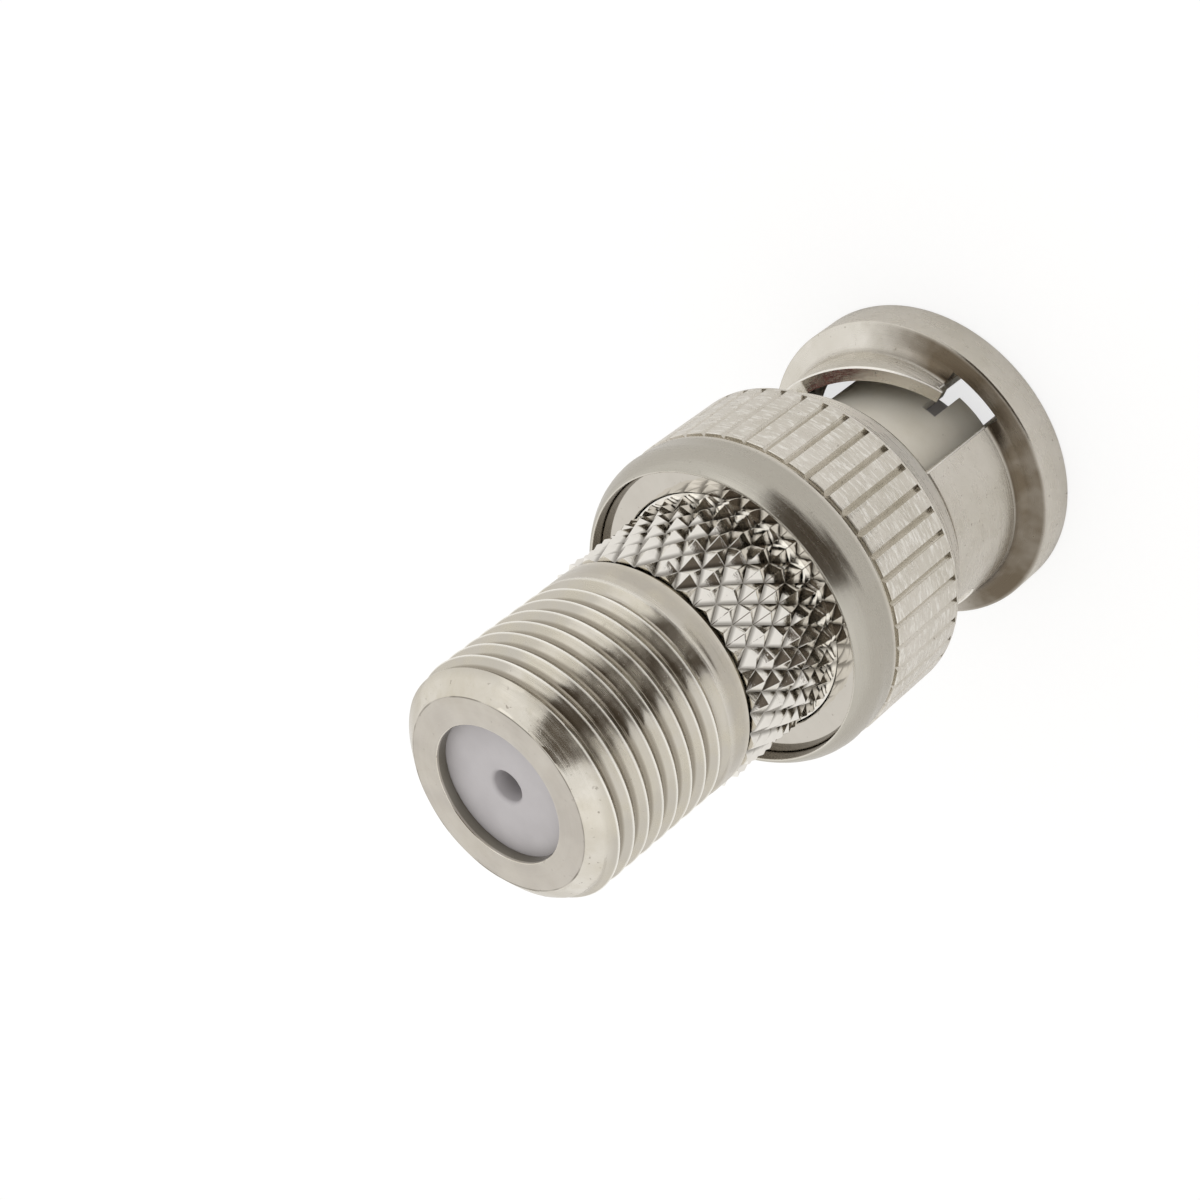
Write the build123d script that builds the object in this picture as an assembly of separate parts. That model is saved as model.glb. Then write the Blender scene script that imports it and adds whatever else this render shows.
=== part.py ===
from build123d import *
import math
import os

# Adapter from a bayonet plug to a threaded F jack, in millimetres.
# Z 0 is the front rim of the coupling nut, on which the adapter stands. The axis is +Z, towards the
# F end. One of the nut's two lock holes is on the +X side, and its entry notches are on the Y axis.

# Clearances that fits share
PRESS_GAP = 0.02        # between pieces pressed or held in one another, each side
FACE_GAP = 0.03         # between flat faces that turn on one another
TURNING_GAP = 0.15      # between the nut and what turns inside it, each side
OVERRUN = 1.0           # how far a cutting shape runs past the metal that it cuts

# Centre pin
PIN_D = 1.35
PIN_TIP_Z = 0.7
PIN_CONE = 1.2
SHANK_D = 1.8               # thicker stretch in the insulator
COLLAR_D = 2.2
COLLAR_LENGTH = 1.0
TAIL_D = 1.0
TAIL_LENGTH = 4.1

# Insulator of the bayonet end
CUP_D = 4.85
CUP_WALL = 0.925
CUP_DEPTH = 5.45
PLUG_INSULATOR_TIP_Z = 0.75

# Outer contact
FINGER_GAP = 0.15           # round the insulator, so that the fingers can spring inwards
SLEEVE_WALL = 0.6
SLEEVE_TIP_Z = 0.7
SLEEVE_SEAT_DEPTH = 2.6     # pressed into the body behind the gasket's seat
SLEEVE_TIP_CHAMFER = 0.2
SLEEVE_STEP_LENGTH = 2.2    # narrower bore at the rear, which holds the insulator
FINGER_COUNT = 6
FINGER_SLOT_WIDTH = 0.65
FINGER_SLOT_LENGTH = 1.9
FINGER_TURN = 42            # degrees from the lock hole to the first slot, with the nut as it stands

# Gasket and the body's front seat behind it
GASKET_WALL = 0.57
GASKET_GAP = 0.08           # round the outer contact
GASKET_T = 1.5
FRONT_SEAT_LENGTH = 0.83

# F contact
SOCKET_D = 2.0
SOCKET_BORE_D = 0.9         # at rest; the wire springs it open
SOCKET_BORE_LENGTH = 8.3
SOCKET_WALL = 0.6           # of the insulator between the collar and the socket
SOCKET_SLOT_WIDTH = 0.3
SOCKET_SLOT_LENGTH = 5.8
SOCKET_END_GAP = 0.1        # to the cap

# F insulators
INSULATOR_BORE_D = 6.2
CAP_T = 1.7
CAP_HOLE_D = 1.25
CAP_FUNNEL_D = 1.5
CAP_FUNNEL_DEPTH = 0.12

# Body
THREAD_D = 9.525            # 3/8-32
THREAD_LENGTH = 8.1         # end face to the rear of the plain ring
NOSE_FACE_D = 7.8
NOSE_LENGTH = 0.6
FACE_BORE_D = 5.55
FACE_LIP_LENGTH = 0.5
RUNOUT_GROOVE_WIDTH = 0.2
RUNOUT_GROOVE_DEPTH = 0.31
NECK_D = 9.85
NECK_SHOWN = 4.8            # knurled neck that stands out of the rear washer
NECK_HIDDEN = 0.7           # knurled neck below the washer's face, most of it in the plain neck
PLAIN_NECK_STEP = 0.015     # of the plain neck inside the washer over the knurl's points
PLAIN_NECK_DROP = 0.1       # from the washer's face down to its edge
NECK_CORE_STEP = 0.04       # from the bottom of the diamond knurl's grooves to the neck's core
DIAMOND_COUNT = 32          # points round the neck
DIAMOND_ROWS = 7            # half a point's length each
DIAMOND_DEPTH = 0.28
BODY_FLANGE_T = 2.0

# Rear washer
REAR_WASHER_GAP = 0.075     # round the neck
REAR_WASHER_WIDTH = 1.1
REAR_WASHER_T = 0.5

# Spring washers, nested, and the flat washer that they press
SPRING_T = 0.3
SPRING_WAVES = 3
SPRING_STEPS = 8            # flats that make up one wave
SPRING_WIDTH = 0.7
SPRING_EDGE_GAP = 0.1       # inside the flat washer's rim
SPRING_NEST_GAP = 0.04
THRUST_T = 0.67
THRUST_WIDTH = 0.7

# Coupling nut, inside
WASHER_LEDGE = 0.15
CHAMBER_LENGTH = 4.6
SEAT_BEHIND_KNURL = 0.4     # inner shoulder, behind the knurl's front end
LIP_HEIGHT = 0.54           # of the rear lip over the washer
MOUTH_CONE_WIDTH = 0.65
MOUTH_DEPTH = 0.7

# Coupling nut, outside, from the front rim backwards
FLANGE_WALL = 0.7           # outside the entry notches
FLANGE_T = 1.65
FLANGE_SLOPE = 0.25         # its rear face leans back this far to the barrel
BARREL_WALL = 0.6
BARREL_LENGTH = 4.45
BARREL_ROOT = 0.3
SHOULDER_FOOT = 0.45
SHOULDER_FOOT_STEP = 0.35
SHOULDER_LENGTH = 1.85      # from the barrel to the knurl
SHOULDER_CHAMFER = 0.35
KNURL_WALL = 0.75           # outside the chamber
KNURL_LENGTH = 3.9
KNURL_COUNT = 44
KNURL_DEPTH = 0.25
KNURL_WIDTH = 0.3           # of a groove at the nut's outside
TURNED_GROOVE_WIDTH = 0.2
TURNED_GROOVE_STEP = 0.02   # below the bottom of the knurl's grooves
REAR_RING = 0.6
REAR_LIP_WALL = 0.12
REAR_BEVEL_BULGE = 0.09     # the rear bevel is slightly rounded

# Bayonet slots
SLOT_COUNT = 2
LOCK_D = 2.4
CAM_TURN = 90               # degrees from the entry notch to the lock hole
ENTRY_WIDTH = 2.2
ENTRY_DEPTH = 0.35          # past the barrel's outside
CAM_LIFT = 1.15             # from the ramp's foot to the lock hole's front edge
DETENT = 0.25               # height of the ramp's peak over that edge
DETENT_FOOT = 8             # degrees from the lock hole's centre
DETENT_PEAK = 17
RAMP_LAND = 10              # degrees between the ramp's foot and the entry notch's middle
RAMP_STEPS = 8

# Radii, worked outwards from the pin and from the neck
cup_r = CUP_D / 2
plug_insulator_r = cup_r + CUP_WALL
finger_r = plug_insulator_r + FINGER_GAP
sleeve_r = finger_r + SLEEVE_WALL
gasket_bore_r = sleeve_r + GASKET_GAP
gasket_r = gasket_bore_r + GASKET_WALL
nut_bore_r = gasket_r + TURNING_GAP
barrel_r = nut_bore_r + BARREL_WALL
entry_r = barrel_r + ENTRY_DEPTH
nut_flange_r = entry_r + FLANGE_WALL
insulator_bore_r = INSULATOR_BORE_D / 2
neck_r = NECK_D / 2
neck_core_r = neck_r - DIAMOND_DEPTH - NECK_CORE_STEP
plain_neck_r = neck_r + PLAIN_NECK_STEP
washer_hole_r = neck_r + REAR_WASHER_GAP
washer_seat_r = washer_hole_r + REAR_WASHER_WIDTH
chamber_r = washer_seat_r - WASHER_LEDGE
body_flange_r = chamber_r - TURNING_GAP
knurl_r = chamber_r + KNURL_WALL

# Stations along Z, worked out from the sizes above
barrel_front = FLANGE_T + FLANGE_SLOPE
barrel_back = barrel_front + BARREL_LENGTH
knurl_front = barrel_back + SHOULDER_LENGTH
knurl_back = knurl_front + KNURL_LENGTH
nut_seat = knurl_front + SEAT_BEHIND_KNURL
washer_seat = nut_seat + CHAMBER_LENGTH
washer_top = washer_seat + REAR_WASHER_T
nut_back = washer_top + LIP_HEIGHT
lock_z = barrel_back - LOCK_D / 2
flange_front = nut_seat + FACE_GAP
flange_back = flange_front + BODY_FLANGE_T
seat_face = flange_front - FRONT_SEAT_LENGTH
neck_back = washer_top + NECK_SHOWN
thread_front = neck_back + RUNOUT_GROOVE_WIDTH
f_face = thread_front + THREAD_LENGTH
f_lip = f_face - FACE_LIP_LENGTH
sleeve_back = seat_face + SLEEVE_SEAT_DEPTH
cap_front = f_lip - CAP_T
thrust_back = washer_seat - FACE_GAP
thrust_front = thrust_back - THRUST_T


def turned(*points):
    """A solid of revolution round Z from a closed outline of (radius, height) points."""
    outline = Plane.XZ * make_face(Polyline(*points, close=True))
    return revolve(outline, Axis.Z)


def ring(outer_r, inner_r, low, high):
    """A plain ring or tube between two heights."""
    return turned((inner_r, low), (outer_r, low), (outer_r, high), (inner_r, high))


def cam_ramp():
    """The metal in front of one slot: its top follows the ramp and the detent, read round the barrel."""
    lock_front = lock_z - LOCK_D / 2
    peak = lock_front + DETENT
    foot = lock_front - CAM_LIFT
    ramp_turn = CAM_TURN - RAMP_LAND - DETENT_PEAK
    edge = [(-DETENT_FOOT, lock_front), (DETENT_FOOT, lock_front)]
    for step in range(RAMP_STEPS + 1):
        share = step / RAMP_STEPS
        edge.append((DETENT_PEAK + share * ramp_turn, peak + share * (foot - peak)))
    edge.append((CAM_TURN + RAMP_LAND, foot))
    near = nut_bore_r - OVERRUN
    far = entry_r + OVERRUN
    sections = []
    for angle, height in edge:
        section = Polyline((near, -OVERRUN), (near, height), (far, height), (far, -OVERRUN), close=True)
        sections.append(Rot(0, 0, -angle) * (Plane.XZ * make_face(section)))
    return loft(sections, ruled=True)


def bayonet_slot():
    """The space of one slot: entry notch, ramp and lock hole, for the slot that locks on the +X side."""
    near = nut_bore_r - OVERRUN
    far = entry_r
    low = lock_z - LOCK_D / 2 - CAM_LIFT
    notch = Pos(0, -far / 2, (barrel_back - OVERRUN) / 2) * Box(ENTRY_WIDTH, far, barrel_back + OVERRUN)
    notch &= Cylinder(far, 3 * barrel_back)
    sector = Polyline((near, low), (far, low), (far, barrel_back), (near, barrel_back), close=True)
    run = Rot(0, 0, -CAM_TURN) * revolve(Plane.XZ * make_face(sector), Axis.Z, CAM_TURN)
    run -= cam_ramp()
    hole = Pos(far / 2, 0, lock_z) * Rot(0, 90, 0) * Cylinder(LOCK_D / 2, far)
    return Rot(0, 0, 90 - CAM_TURN) * notch + run + hole


def coupling_nut():
    """Turned nut: lead-in flange, barrel with two cam slots, shoulder, straight knurl and rear lip."""
    lip_r = washer_seat_r + REAR_LIP_WALL
    ring_front = knurl_back + TURNED_GROOVE_WIDTH
    ring_back = ring_front + REAR_RING
    groove_r = knurl_r - KNURL_DEPTH - TURNED_GROOVE_STEP
    nut = turned(
        (nut_bore_r, MOUTH_DEPTH),
        (nut_bore_r + MOUTH_CONE_WIDTH, 0),
        (nut_flange_r, 0),
        (nut_flange_r, FLANGE_T),
        (barrel_r + BARREL_ROOT, barrel_front),
        (barrel_r, barrel_front + BARREL_ROOT),
        (barrel_r, barrel_back),
        (barrel_r + SHOULDER_FOOT_STEP, barrel_back + SHOULDER_FOOT),
        (knurl_r - SHOULDER_CHAMFER, knurl_front - SHOULDER_CHAMFER),
        (knurl_r, knurl_front),
        (knurl_r, knurl_back),
        (groove_r, knurl_back),
        (groove_r, ring_front),
        (knurl_r, ring_front),
        (knurl_r, ring_back),
        ((knurl_r + lip_r) / 2 + REAR_BEVEL_BULGE, (ring_back + nut_back) / 2 + REAR_BEVEL_BULGE),
        (lip_r, nut_back),
        (washer_seat_r, nut_back),
        (washer_seat_r, washer_seat),
        (chamber_r, washer_seat),
        (chamber_r, nut_seat),
        (nut_bore_r, nut_seat),
    )
    vee = Polyline(
        (knurl_r - KNURL_DEPTH, 0),
        (knurl_r + KNURL_DEPTH, KNURL_WIDTH),
        (knurl_r + KNURL_DEPTH, -KNURL_WIDTH),
        close=True,
    )
    groove = Pos(0, 0, knurl_back + TURNED_GROOVE_WIDTH / 2) * extrude(make_face(vee), -KNURL_LENGTH)
    nut -= [Rot(0, 0, (i + 0.5) * 360 / KNURL_COUNT) * groove for i in range(KNURL_COUNT)]
    nut -= [Rot(0, 0, i * 360 / SLOT_COUNT) * bayonet_slot() for i in range(SLOT_COUNT)]
    return nut


def rear_washer():
    """Flat ring pressed into the nut's rear counterbore."""
    return ring(washer_seat_r - PRESS_GAP, washer_hole_r, washer_seat, washer_top)


def diamond_knurl(low, high):
    """The knurled neck as a band of four-sided points, left between grooves that cross at an angle."""
    def corner(column, row):
        radius = neck_r - DIAMOND_DEPTH * ((column + row + 1) % 2)
        turn = math.pi * column / DIAMOND_COUNT
        height = low + (high - low) * row / DIAMOND_ROWS
        return Vector(radius * math.cos(turn), radius * math.sin(turn), height)

    outlines = []
    for row in range(DIAMOND_ROWS):
        for column in range(2 * DIAMOND_COUNT):
            near, far = corner(column, row), corner(column + 1, row)
            far_up, near_up = corner(column + 1, row + 1), corner(column, row + 1)
            if (column + row + 1) % 2:
                outlines += [(near, far, far_up), (near, far_up, near_up)]
            else:
                outlines += [(near, far, near_up), (far, far_up, near_up)]
    for row in (0, DIAMOND_ROWS):
        outlines.append([corner(column, row) for column in range(2 * DIAMOND_COUNT)])
    band = Solid(Shell([Face(Wire.make_polygon(outline)) for outline in outlines]))
    middle_of_wall = (insulator_bore_r + neck_core_r) / 2
    return band - Pos(0, 0, (low + high) / 2) * Cylinder(middle_of_wall, 2 * (high - low))


def body():
    """Body: thread of the F jack, knurled neck, flange inside the nut, and seats for what it carries."""
    thread_r = THREAD_D / 2
    groove_r = thread_r - RUNOUT_GROOVE_DEPTH
    contact_r = sleeve_r + PRESS_GAP
    blank = turned(
        (contact_r, seat_face),
        (gasket_r, seat_face),
        (gasket_r, flange_front),
        (body_flange_r, flange_front),
        (body_flange_r, flange_back),
        (plain_neck_r, flange_back),
        (plain_neck_r, washer_top - PLAIN_NECK_DROP),
        (neck_core_r, washer_top - PLAIN_NECK_DROP),
        (neck_core_r, neck_back),
        (groove_r, neck_back),
        (groove_r, thread_front),
        (thread_r, thread_front),
        (thread_r, f_face - NOSE_LENGTH),
        (NOSE_FACE_D / 2, f_face),
        (FACE_BORE_D / 2, f_face),
        (FACE_BORE_D / 2, f_lip),
        (insulator_bore_r, f_lip),
        (insulator_bore_r, sleeve_back),
        (contact_r, sleeve_back),
    )
    return blank + diamond_knurl(washer_top - NECK_HIDDEN, neck_back)


def outer_contact():
    """Sprung sleeve pressed into the body's front, slotted into fingers."""
    step_r = insulator_bore_r + PRESS_GAP
    step_z = sleeve_back - SLEEVE_STEP_LENGTH
    sleeve = turned(
        (finger_r, SLEEVE_TIP_Z),
        (sleeve_r - SLEEVE_TIP_CHAMFER, SLEEVE_TIP_Z),
        (sleeve_r, SLEEVE_TIP_Z + SLEEVE_TIP_CHAMFER),
        (sleeve_r, sleeve_back),
        (step_r, sleeve_back),
        (step_r, step_z),
        (finger_r, step_z),
    )
    slot = Pos(sleeve_r / 2, 0, SLEEVE_TIP_Z + (FINGER_SLOT_LENGTH - OVERRUN) / 2)
    slot *= Box(sleeve_r + OVERRUN, FINGER_SLOT_WIDTH, FINGER_SLOT_LENGTH + OVERRUN)
    sleeve -= [Rot(0, 0, FINGER_TURN + i * 360 / FINGER_COUNT) * slot for i in range(FINGER_COUNT)]
    return sleeve


def bnc_insulator():
    """Insulator of the bayonet end, with the deep cup round the pin and a spigot in the sleeve."""
    step_z = sleeve_back - SLEEVE_STEP_LENGTH
    cup_floor = PLUG_INSULATOR_TIP_Z + CUP_DEPTH
    collar_front = sleeve_back - COLLAR_LENGTH
    shank_r = SHANK_D / 2 + PRESS_GAP
    collar_r = COLLAR_D / 2 + PRESS_GAP
    return turned(
        (cup_r, PLUG_INSULATOR_TIP_Z),
        (plug_insulator_r, PLUG_INSULATOR_TIP_Z),
        (plug_insulator_r, step_z),
        (insulator_bore_r, step_z),
        (insulator_bore_r, sleeve_back),
        (collar_r, sleeve_back),
        (collar_r, collar_front),
        (shank_r, collar_front),
        (shank_r, cup_floor),
        (cup_r, cup_floor),
    )


def centre_pin():
    """Pointed pin with a collar held between the insulators and a tail in the F contact."""
    cup_floor = PLUG_INSULATOR_TIP_Z + CUP_DEPTH
    collar_front = sleeve_back - COLLAR_LENGTH
    return turned(
        (0, PIN_TIP_Z),
        (PIN_D / 2, PIN_TIP_Z + PIN_CONE),
        (PIN_D / 2, cup_floor),
        (SHANK_D / 2, cup_floor),
        (SHANK_D / 2, collar_front),
        (COLLAR_D / 2, collar_front),
        (COLLAR_D / 2, sleeve_back),
        (TAIL_D / 2, sleeve_back),
        (TAIL_D / 2, sleeve_back + TAIL_LENGTH),
        (0, sleeve_back + TAIL_LENGTH),
    )


def gasket():
    """Silicone ring round the outer contact, on the body's front face."""
    return ring(gasket_r, gasket_bore_r, seat_face - GASKET_T, seat_face)


def f_insulator_cap():
    """Disc behind the F end's lip, with a funnel that leads the centre wire in."""
    hole_r = CAP_HOLE_D / 2
    return turned(
        (hole_r, cap_front),
        (insulator_bore_r - PRESS_GAP, cap_front),
        (insulator_bore_r - PRESS_GAP, f_lip),
        (CAP_FUNNEL_D / 2, f_lip),
        (hole_r, f_lip - CAP_FUNNEL_DEPTH),
    )


def f_insulator_sleeve():
    """Tube that centres the F contact in the body."""
    socket_r = SOCKET_D / 2 + PRESS_GAP
    tail_r = TAIL_D / 2 + PRESS_GAP
    floor = sleeve_back + SOCKET_WALL
    return turned(
        (tail_r, sleeve_back),
        (insulator_bore_r - PRESS_GAP, sleeve_back),
        (insulator_bore_r - PRESS_GAP, cap_front),
        (socket_r, cap_front),
        (socket_r, floor),
        (tail_r, floor),
    )


def f_socket():
    """Slotted contact tube for the centre wire, pressed on the pin's tail."""
    outer_r = SOCKET_D / 2
    tail_r = TAIL_D / 2 + PRESS_GAP
    low = sleeve_back + SOCKET_WALL
    high = cap_front - SOCKET_END_GAP
    blank = turned(
        (0, low),
        (outer_r, low),
        (outer_r, high),
        (0, high),
    )
    tail_hole = Pos(0, 0, low) * Cylinder(tail_r, 2 * (TAIL_LENGTH - SOCKET_WALL + PRESS_GAP))
    bore = Pos(0, 0, high) * Cylinder(SOCKET_BORE_D / 2, 2 * SOCKET_BORE_LENGTH)
    slot = Pos(0, 0, high) * Box(SOCKET_D, SOCKET_SLOT_WIDTH, 2 * SOCKET_SLOT_LENGTH)
    return blank - tail_hole - bore - slot - Rot(0, 0, 90) * slot


def wave_washer(low):
    """Spring washer that waves up and down round its ring, with its lowest points at this height."""
    room = thrust_front - flange_back - 2 * FACE_GAP
    height = (room - 2 * SPRING_T - SPRING_NEST_GAP) / 2
    outer_r = body_flange_r - SPRING_EDGE_GAP
    inner_r = outer_r - SPRING_WIDTH
    sections = []
    for step in range(SPRING_STEPS + 1):
        turn = 360 * step / SPRING_STEPS
        level = low + height * (1 + math.cos(math.radians(turn)))
        strip = Polyline(
            (inner_r, level),
            (outer_r, level),
            (outer_r, level + SPRING_T),
            (inner_r, level + SPRING_T),
            close=True,
        )
        sections.append(Rot(0, 0, turn / SPRING_WAVES) * (Plane.XZ * make_face(strip)))
    wave = loft(sections, ruled=True)
    return wave + [Rot(0, 0, i * 360 / SPRING_WAVES) * wave for i in range(1, SPRING_WAVES)]


def thrust_washer():
    """Flat ring between the spring washers and the washer that turns with the nut."""
    return ring(body_flange_r, body_flange_r - THRUST_WIDTH, thrust_front, thrust_back)


pieces = {
    "coupling_nut": coupling_nut(),
    "rear_washer": rear_washer(),
    "body": body(),
    "outer_contact": outer_contact(),
    "bnc_insulator": bnc_insulator(),
    "centre_pin": centre_pin(),
    "gasket": gasket(),
    "f_insulator_cap": f_insulator_cap(),
    "f_insulator_sleeve": f_insulator_sleeve(),
    "f_socket": f_socket(),
    "wave_washer_front": wave_washer(flange_back + FACE_GAP),
    "wave_washer_rear": wave_washer(flange_back + FACE_GAP + SPRING_T + SPRING_NEST_GAP),
    "thrust_washer": thrust_washer(),
}

os.makedirs("parts", exist_ok=True)
for name, shape in pieces.items():
    export_step(shape, os.path.join("parts", name + ".step"))
    print(name, len(shape.solids()), round(shape.volume, 2))
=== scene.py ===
import bmesh
import bpy
import math
from mathutils import Matrix, Vector


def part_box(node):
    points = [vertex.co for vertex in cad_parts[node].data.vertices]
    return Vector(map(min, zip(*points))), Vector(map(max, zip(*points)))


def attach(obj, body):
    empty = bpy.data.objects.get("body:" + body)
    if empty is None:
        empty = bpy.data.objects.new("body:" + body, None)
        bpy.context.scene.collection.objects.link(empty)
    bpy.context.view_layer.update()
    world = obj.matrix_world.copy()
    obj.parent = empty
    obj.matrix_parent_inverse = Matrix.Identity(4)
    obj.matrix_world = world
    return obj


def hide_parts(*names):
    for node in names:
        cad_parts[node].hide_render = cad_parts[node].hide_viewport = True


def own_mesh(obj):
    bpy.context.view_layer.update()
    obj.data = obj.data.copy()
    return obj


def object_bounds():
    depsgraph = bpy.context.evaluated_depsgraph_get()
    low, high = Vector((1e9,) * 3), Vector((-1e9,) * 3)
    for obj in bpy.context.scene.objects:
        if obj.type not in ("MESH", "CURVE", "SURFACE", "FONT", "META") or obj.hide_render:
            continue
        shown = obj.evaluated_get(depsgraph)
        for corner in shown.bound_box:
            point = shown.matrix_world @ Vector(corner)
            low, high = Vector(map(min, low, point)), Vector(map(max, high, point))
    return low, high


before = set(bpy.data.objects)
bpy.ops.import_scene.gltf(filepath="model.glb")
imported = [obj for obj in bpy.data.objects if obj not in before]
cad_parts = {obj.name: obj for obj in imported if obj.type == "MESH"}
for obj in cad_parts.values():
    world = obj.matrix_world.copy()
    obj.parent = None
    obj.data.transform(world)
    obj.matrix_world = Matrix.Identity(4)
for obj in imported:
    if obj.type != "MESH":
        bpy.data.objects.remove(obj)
cad_low, cad_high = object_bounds()

# Body: one piece turned from brass bar and nickel plated. It carries the F thread, a run-out ring, the
# diamond-knurled neck that the fingers hold, and inside the nut the flange and the gasket's seat.
# Everything else is pressed into it from one end or the other.
MM = 0.001
body_low, body_high = (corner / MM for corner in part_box("body"))
flange_r = body_high.x
seat_z = body_low.z
face_z = body_high.z
lip_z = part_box("f_insulator_cap")[1].z / MM     # the inside of the lip that holds the white disc
EDGE_BREAK = 0.05               # of a turned edge that is given no size of its own
ROUND_STEPS = 192
SHARP_ANGLE = 32                # degrees between two faces, above which their edge stays sharp
COLOUR = "NodeSocketColor"
NUMBER = "NodeSocketFloat"


def wire(bm, outline, closed):
    """Adds an outline of (radius, height) or (radius, height, corner radius) in the XZ plane."""
    corners = [bm.verts.new((point[0] * MM, 0, point[1] * MM)) for point in outline]
    for one, two in zip(corners, corners[1:]):
        bm.edges.new((one, two))
    if closed:
        bm.edges.new((corners[-1], corners[0]))
    inner = corners if closed else corners[1:-1]
    sizes = [point[2] if len(point) == 3 else EDGE_BREAK for point in outline]
    for corner, size in list(zip(corners, sizes)):
        if corner in inner and size > 0:
            bmesh.ops.bevel(bm, geom=[corner], offset=size * MM, offset_type="OFFSET", profile=0.5,
                            segments=3, affect="VERTICES", material=-1, clamp_overlap=True)


def turn(bm, outline, closed=True, steps=ROUND_STEPS):
    """Spins an outline round the axis into the mesh, as a lathe turns it."""
    before = set(bm.verts)
    wire(bm, outline, closed)
    new = [v for v in bm.verts if v not in before]
    edges = list(dict.fromkeys(e for v in new for e in v.link_edges))
    bmesh.ops.spin(bm, geom=new + edges, cent=(0, 0, 0), axis=(0, 0, 1), dvec=(0, 0, 0),
                   angle=math.tau, steps=steps, use_merge=True, use_duplicate=False)
    new = [v for v in bm.verts if v not in before]
    bmesh.ops.remove_doubles(bm, verts=new, dist=1e-7)
    for face in bm.faces:
        if any(v not in before for v in face.verts):
            face.smooth = True


def ring_edges(bm, height):
    """The edges of the open loop that lies at this height."""
    found = []
    for edge in bm.edges:
        if len(edge.link_faces) != 1:
            continue
        if all(abs(v.co.z / MM - height) < 0.004 for v in edge.verts):
            found.append(edge)
    return found


def piece_from(bm, name, material, sharp=SHARP_ANGLE):
    """Makes the finished piece, with smooth shading between edges sharper than this angle."""
    bmesh.ops.recalc_face_normals(bm, faces=bm.faces)
    mesh = bpy.data.meshes.new(name)
    bm.to_mesh(mesh)
    bm.free()
    mesh.set_sharp_from_angle(angle=math.radians(sharp))
    mesh.materials.append(material)
    piece = bpy.data.objects.new(name, mesh)
    bpy.context.scene.collection.objects.link(piece)
    return piece


def even_shading(piece):
    """Lets the large faces set the shading, so that flats stay flat up to their small edge breaks."""
    weigh = piece.modifiers.new("weigh", "WEIGHTED_NORMAL")
    weigh.keep_sharp = True


def link(tree, one, two):
    """Joins an output to an input."""
    tree.links.new(one, two)


def value_node(tree, operation, first, second, clamp=False):
    """A math node with each input either a number or a socket. Returns its output."""
    node = tree.nodes.new("ShaderNodeMath")
    node.operation = operation
    node.use_clamp = clamp
    for socket, given in zip(node.inputs, (first, second)):
        if isinstance(given, (int, float)):
            socket.default_value = given
        else:
            link(tree, given, socket)
    return node.outputs[0]


def times(tree, first, second):
    """The product of two masks or values."""
    return value_node(tree, "MULTIPLY", first, second)


def noise(tree, where, scale, detail, roughness):
    """A noise texture's value on these coordinates."""
    node = tree.nodes.new("ShaderNodeTexNoise")
    node.inputs["Scale"].default_value = scale
    node.inputs["Detail"].default_value = detail
    node.inputs["Roughness"].default_value = roughness
    link(tree, where, node.inputs["Vector"])
    return node.outputs["Fac"]


def remap(tree, value, low, high, to_low=0.0, to_high=1.0):
    """Stretches a value from one range to another, clamped."""
    node = tree.nodes.new("ShaderNodeMapRange")
    link(tree, value, node.inputs["Value"])
    node.inputs["From Min"].default_value = low
    node.inputs["From Max"].default_value = high
    for name, given in (("To Min", to_low), ("To Max", to_high)):
        if isinstance(given, (int, float)):
            node.inputs[name].default_value = given
        else:
            link(tree, given, node.inputs[name])
    return node.outputs["Result"]


def blend_colours(tree, share, one, two):
    """Mixes two colours, each a tuple or a socket."""
    node = tree.nodes.new("ShaderNodeMix")
    node.data_type = "RGBA"
    link(tree, share, node.inputs["Factor"])
    for socket, given in ((node.inputs[6], one), (node.inputs[7], two)):
        if isinstance(given, tuple):
            socket.default_value = (*given, 1)
        else:
            link(tree, given, socket)
    return node.outputs[2]


def polar(tree):
    """Object coordinates: the place itself, the radius from the axis and the height."""
    place = tree.nodes.new("ShaderNodeTexCoord").outputs["Object"]
    split = tree.nodes.new("ShaderNodeSeparateXYZ")
    link(tree, place, split.inputs[0])
    flat = tree.nodes.new("ShaderNodeCombineXYZ")
    link(tree, split.outputs["X"], flat.inputs["X"])
    link(tree, split.outputs["Y"], flat.inputs["Y"])
    radius = tree.nodes.new("ShaderNodeVectorMath")
    radius.operation = "LENGTH"
    link(tree, flat.outputs[0], radius.inputs[0])
    return place, radius.outputs["Value"], split.outputs["Z"]


def new_finish(name, inputs):
    """An empty node group with these inputs, for a finish that gives colour, roughness and height."""
    group = bpy.data.node_groups.new(name, "ShaderNodeTree")
    for socket, kind in inputs.items():
        group.interface.new_socket(socket, in_out="INPUT", socket_type=kind)
    for socket, kind in (("Color", COLOUR), ("Roughness", NUMBER), ("Height", NUMBER)):
        group.interface.new_socket(socket, in_out="OUTPUT", socket_type=kind)
    given = group.nodes.new("NodeGroupInput").outputs
    result = group.nodes.new("NodeGroupOutput").inputs
    return group, given, result


PIT_COLOUR = (0.16, 0.13, 0.1)
MARK_DRIFT = 0.03               # share of X in the turning marks, so that no mark is a perfect ring


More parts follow.
